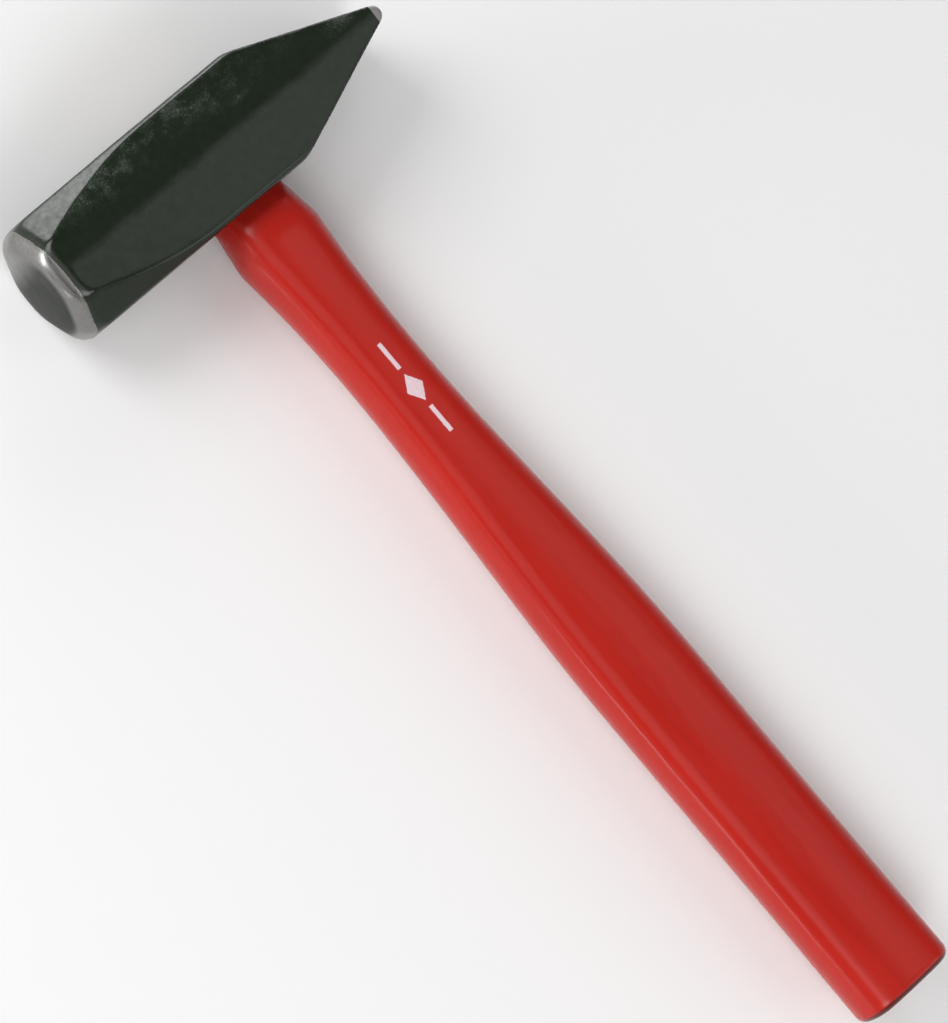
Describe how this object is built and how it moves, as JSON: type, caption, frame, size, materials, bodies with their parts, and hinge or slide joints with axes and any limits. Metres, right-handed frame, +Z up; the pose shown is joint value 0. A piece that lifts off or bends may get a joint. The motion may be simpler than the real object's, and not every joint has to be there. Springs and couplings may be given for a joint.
{
  "type": "cross peen hammer",
  "caption": "Blacksmith's cross peen hammer: forged head with octagonal poll, domed bevelled face and wedge peen, on a wedged, lacquered wooden handle.",
  "frame": {"origin": "on the flat land of the lower cheek, straight below the centre of the eye, on the surface the hammer lies on", "axes": "+X down the handle from the head to the butt, +Y along the head from the striking face to the peen, +Z up from the surface, through both cheeks"},
  "size_m": [0.4063, 0.1566, 0.045],
  "materials": {
    "head_paint": "black-green enamel over forged steel, semi-gloss",
    "handle_lacquer": "red lacquer, satin gloss",
    "wedge_wood": "bare hardwood",
    "wedge_steel": "plain steel, slightly darkened",
    "resin": "cured dark resin, gloss"
  },
  "bodies": {
    "root": {"head": "head_paint", "handle": "handle_lacquer", "wood_wedge": "wedge_wood", "steel_wedge_front": "wedge_steel", "steel_wedge_rear": "wedge_steel", "eye_resin": "resin"}
  },
  "joints": []
}
